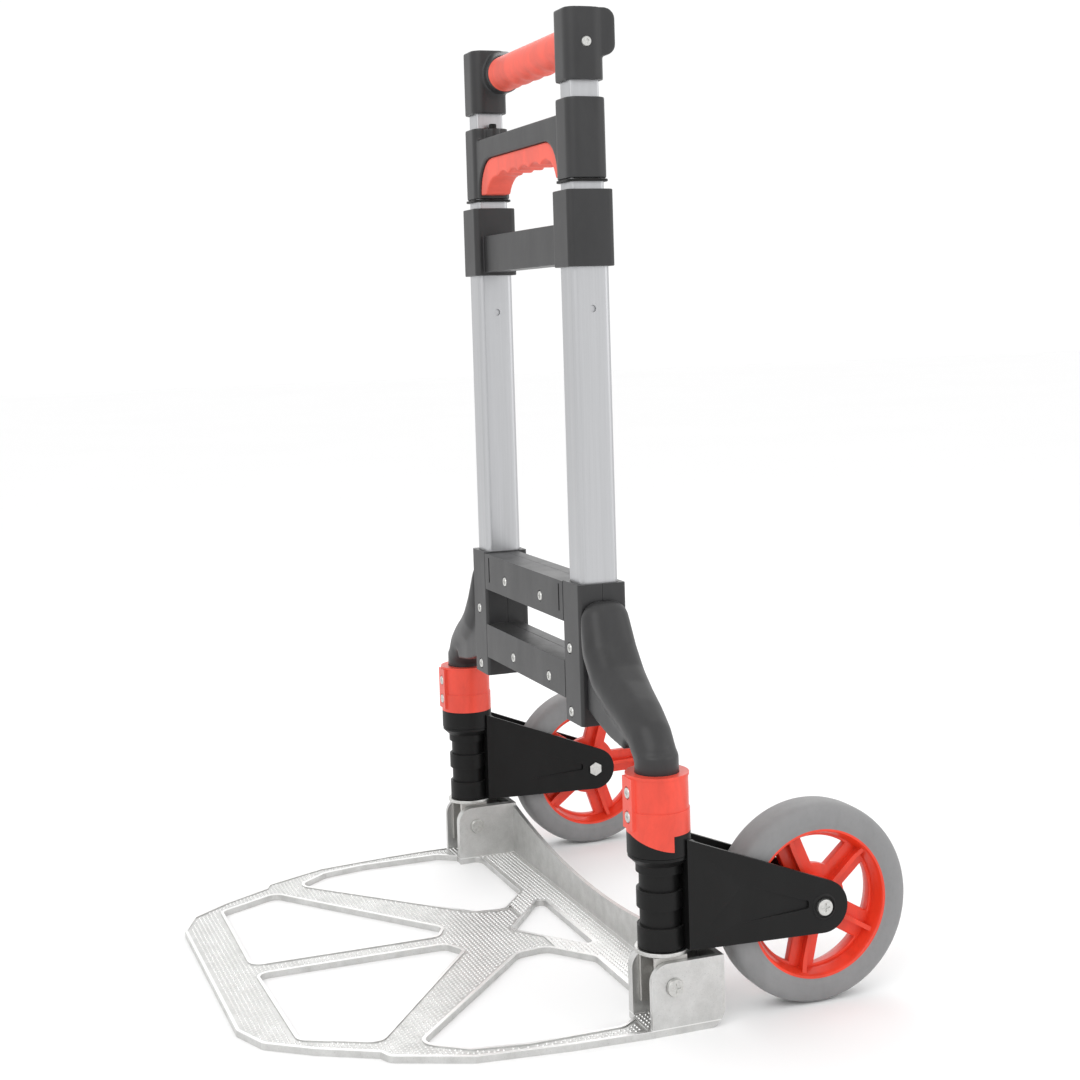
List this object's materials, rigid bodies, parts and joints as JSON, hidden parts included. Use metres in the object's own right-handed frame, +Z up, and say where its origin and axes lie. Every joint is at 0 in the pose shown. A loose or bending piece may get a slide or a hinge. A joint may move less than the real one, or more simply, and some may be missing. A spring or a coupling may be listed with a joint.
{
  "type": "folding hand truck",
  "caption": "Folding hand truck: hinged cast toe plate, forked wheel brackets that swing in under clamp collars, curved lower frame, and a telescopic handle with grips.",
  "frame": {"origin": "centre of the whole footprint, on the floor", "axes": "+Z up, +X to the truck's right-hand post when seen from the toe plate side, -Y the toe plate side, +Y the wheel side"},
  "size_m": [0.5058, 0.5, 0.766],
  "materials": {
    "cast_aluminium": "bright cast aluminium, lightly polished, with a raised tread",
    "tube_aluminium": "satin anodised extrusion",
    "frame_plastic": "charcoal moulded nylon, fine satin grain",
    "bracket_plastic": "black moulded nylon, satin",
    "post_steel": "black coated steel tube",
    "clamp_red": "red moulded plastic, semi gloss",
    "grip_red": "soft-touch red grip",
    "tyre_grey": "smooth grey rubber",
    "foot_cast": "grey die-cast channel",
    "zinc_steel": "zinc plated steel"
  },
  "bodies": {
    "frame": {"frame_front": "frame_plastic", "frame_rear": "frame_plastic", "frame_screws": "zinc_steel", "collar_bracket": "frame_plastic", "leg_right": "frame_plastic", "leg_left": "frame_plastic", "tube_outer_right": "tube_aluminium", "tube_outer_left": "tube_aluminium", "post_right": "post_steel", "post_left": "post_steel", "clamp_right": "clamp_red", "clamp_left": "clamp_red", "clamp_screws_right": "zinc_steel", "clamp_screws_left": "zinc_steel", "cam_ring_right": "bracket_plastic", "cam_ring_left": "bracket_plastic", "foot_right": "foot_cast", "foot_left": "foot_cast", "foot_disc_right": "zinc_steel", "foot_disc_left": "zinc_steel", "hinge_bolt_right": "zinc_steel", "hinge_bolt_left": "zinc_steel"},
    "toe": {"toe_plate": "cast_aluminium"},
    "swing_right": {"bracket_right": "bracket_plastic", "axle_right": "zinc_steel"},
    "swing_left": {"bracket_left": "bracket_plastic", "axle_left": "zinc_steel"},
    "wheel_right": {"rim_right": "clamp_red", "tyre_right": "tyre_grey"},
    "wheel_left": {"rim_left": "clamp_red", "tyre_left": "tyre_grey"},
    "lower_stage": {"tube_middle_right": "tube_aluminium", "tube_middle_left": "tube_aluminium", "guide_plate_right": "bracket_plastic", "guide_plate_left": "bracket_plastic", "handle_lower": "frame_plastic", "grip_lower": "grip_red"},
    "button": {"release_button": "bracket_plastic"},
    "upper_stage": {"tube_inner_right": "tube_aluminium", "tube_inner_left": "tube_aluminium", "cap_right": "frame_plastic", "cap_left": "frame_plastic", "cap_rivet_right": "zinc_steel", "cap_rivet_left": "zinc_steel", "grip_upper": "grip_red"}
  },
  "joints": [
    {"name": "toe_fold", "type": "hinge", "parent": "frame", "child": "toe", "pos_m": [0, 0.048, 0.0355], "axis": [-1, 0, 0], "range_deg": [0, 90]},
    {"name": "bracket_swing_right", "type": "hinge", "parent": "frame", "child": "swing_right", "pos_m": [0.228, 0.048, 0.077], "axis": [0, 0, 1], "range_deg": [0, 90]},
    {"name": "bracket_swing_left", "type": "hinge", "parent": "frame", "child": "swing_left", "pos_m": [-0.228, 0.048, 0.077], "axis": [0, 0, -1], "range_deg": [0, 90]},
    {"name": "wheel_spin_right", "type": "hinge", "parent": "swing_right", "child": "wheel_right", "pos_m": [0.228, 0.173, 0.077], "axis": [1, 0, 0], "continuous": true},
    {"name": "wheel_spin_left", "type": "hinge", "parent": "swing_left", "child": "wheel_left", "pos_m": [-0.228, 0.173, 0.077], "axis": [1, 0, 0], "continuous": true},
    {"name": "lower_stage_slide", "type": "slide", "parent": "frame", "child": "lower_stage", "axis": [0, 0, 1], "range_m": [0, 0.165]},
    {"name": "upper_stage_slide", "type": "slide", "parent": "lower_stage", "child": "upper_stage", "axis": [0, 0, 1], "range_m": [0, 0.165]},
    {"name": "release_press", "type": "slide", "parent": "lower_stage", "child": "button", "axis": [0, 0, -1], "range_m": [0, 0.003], "stiffness_N_per_m": 300}
  ],
  "couplings": [
    {"joint": "bracket_swing_right", "follows": "toe_fold", "ratio": 1},
    {"joint": "bracket_swing_left", "follows": "toe_fold", "ratio": 1}
  ]
}
